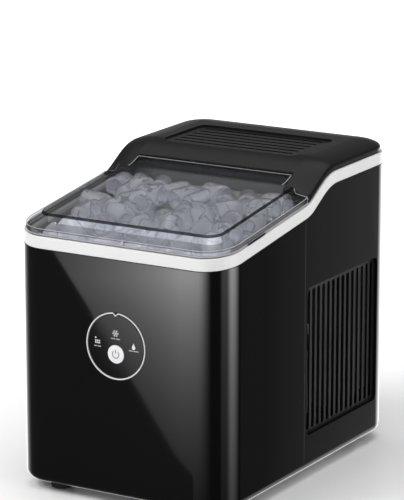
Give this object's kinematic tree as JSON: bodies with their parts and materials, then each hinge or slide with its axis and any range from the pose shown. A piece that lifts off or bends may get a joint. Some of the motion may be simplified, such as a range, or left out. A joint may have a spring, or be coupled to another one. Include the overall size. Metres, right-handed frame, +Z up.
{
  "type": "countertop ice maker",
  "caption": "Compact countertop ice maker with a clear sloping front lid, crowned rear cover, round front control panel, side vents and full cooling and water workings inside.",
  "frame": {"origin": "on the surface the feet stand on, under the middle of the cabinet", "axes": "+X to the right seen by the user, -Y towards the user (control panel side), +Z up"},
  "size_m": [0.222, 0.32, 0.2945],
  "materials": {
    "gloss_black": "gloss",
    "satin_black": "satin",
    "white_trim": "semi-gloss",
    "white_button": "satin",
    "smoked_clear": "gloss, smoked and clear",
    "grey_plastic": "satin",
    "pale_plastic": "satin",
    "ice": "wet ice",
    "steel": "plain",
    "chrome_trim": "polished",
    "aluminium": "plain",
    "copper": null,
    "painted_steel": "semi-gloss black",
    "rubber": "matte",
    "silicone": "satin silicone",
    "foam": "rigid foam",
    "board": "lacquered circuit board"
  },
  "bodies": {
    "cabinet": {"base_plate": "painted_steel", "board_transformer": "painted_steel", "button_switch": "grey_plastic", "compressor": "painted_steel", "compressor_mount_1": "rubber", "compressor_mount_2": "rubber", "compressor_mount_3": "rubber", "condenser": "aluminium", "control_board": "board", "cord_inlet": "rubber", "discharge_line": "copper", "drain_hose": "silicone", "evaporator": "aluminium", "evaporator_bracket": "grey_plastic", "evaporator_hood": "grey_plastic", "fan_motor": "steel", "fan_shroud": "grey_plastic", "fill_spout": "pale_plastic", "filter_drier": "copper", "foot_front_left": "rubber", "foot_front_right": "rubber", "foot_rear_left": "rubber", "foot_rear_right": "rubber", "front_cover": "gloss_black", "hot_gas_line": "copper", "hot_gas_valve": "steel", "ice_basket": "pale_plastic", "ice_full_sensor": "grey_plastic", "ice_pile": "ice", "inner_tank": "grey_plastic", "lid_hinge_pin_left": "steel", "lid_hinge_pin_right": "steel", "panel_carrier": "grey_plastic", "panel_lens": "gloss_black", "panel_ring": "chrome_trim", "power_board": "board", "pump_hose": "silicone", "pump_strainer": "pale_plastic", "rear_housing": "satin_black", "rear_screw_1": "steel", "rear_screw_2": "steel", "rear_screw_3": "steel", "rear_screw_4": "steel", "side_grille_left": "satin_black", "side_grille_right": "satin_black", "start_relay": "grey_plastic", "suction_line": "copper", "tank_insulation": "foam", "top_cover": "satin_black", "tray_motor": "pale_plastic", "trim_band": "white_trim", "water_level_sensor": "grey_plastic", "water_pump": "grey_plastic"},
    "lid": {"lid": "smoked_clear"},
    "power_button": {"power_button": "white_button"},
    "water_tray": {"water_tray": "pale_plastic"},
    "ice_shovel": {"ice_shovel": "pale_plastic"},
    "fan_rotor": {"fan_rotor": "grey_plastic"},
    "drain_plug": {"drain_plug": "silicone"}
  },
  "joints": [
    {"name": "lid_hinge", "type": "hinge", "parent": "cabinet", "child": "lid", "pos_m": [0, 0.0125, 0.2788], "axis": [-1, 0, 0], "range_deg": [0, 100]},
    {"name": "power_button_press", "type": "slide", "parent": "cabinet", "child": "power_button", "axis": [0, 1, 0], "range_m": [0, 0.0008], "stiffness_N_per_m": 600},
    {"name": "water_tray_tip", "type": "hinge", "parent": "cabinet", "child": "water_tray", "pos_m": [0, -0.011, 0.222], "axis": [1, 0, 0], "range_deg": [0, 75]},
    {"name": "ice_shovel_sweep", "type": "hinge", "parent": "cabinet", "child": "ice_shovel", "pos_m": [0, -0.011, 0.222], "axis": [-1, 0, 0], "range_deg": [0, 101]},
    {"name": "fan_spin", "type": "hinge", "parent": "cabinet", "child": "fan_rotor", "pos_m": [0.073, 0.096, 0.112], "axis": [1, 0, 0], "continuous": true},
    {"name": "drain_plug_pull", "type": "slide", "parent": "cabinet", "child": "drain_plug", "axis": [0, 1, 0], "range_m": [0, 0.015]}
  ],
  "couplings": [
    {"joint": "ice_shovel_sweep", "follows": "water_tray_tip", "ratio": 1.333}
  ]
}
